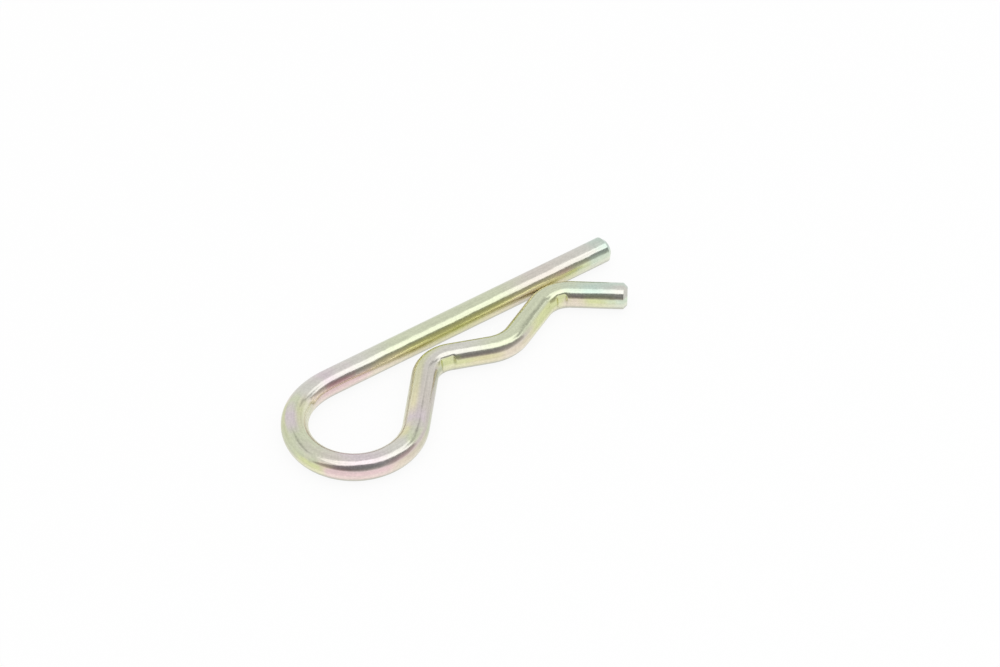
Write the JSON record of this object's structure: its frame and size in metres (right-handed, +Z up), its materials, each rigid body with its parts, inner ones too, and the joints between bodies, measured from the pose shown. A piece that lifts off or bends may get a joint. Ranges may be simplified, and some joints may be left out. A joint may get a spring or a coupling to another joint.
{
  "type": "hitch r clip pin",
  "caption": "R-shaped retaining clip bent from one round spring wire, with a straight leg, an open loop and a bowed, flared leg.",
  "frame": {"origin": "middle of the clip's box in plan, on the plane that the clip lies on", "axes": "+X along the straight leg towards its tip, +Y from the bent leg to the straight leg, +Z up, across the wire"},
  "size_m": [0.062, 0.0218, 0.004],
  "materials": {
    "zinc_plated_wire": "bright zinc plate with a pale yellow-green and pink passivation sheen"
  },
  "bodies": {
    "root": {"r_clip": "zinc_plated_wire"}
  },
  "joints": []
}
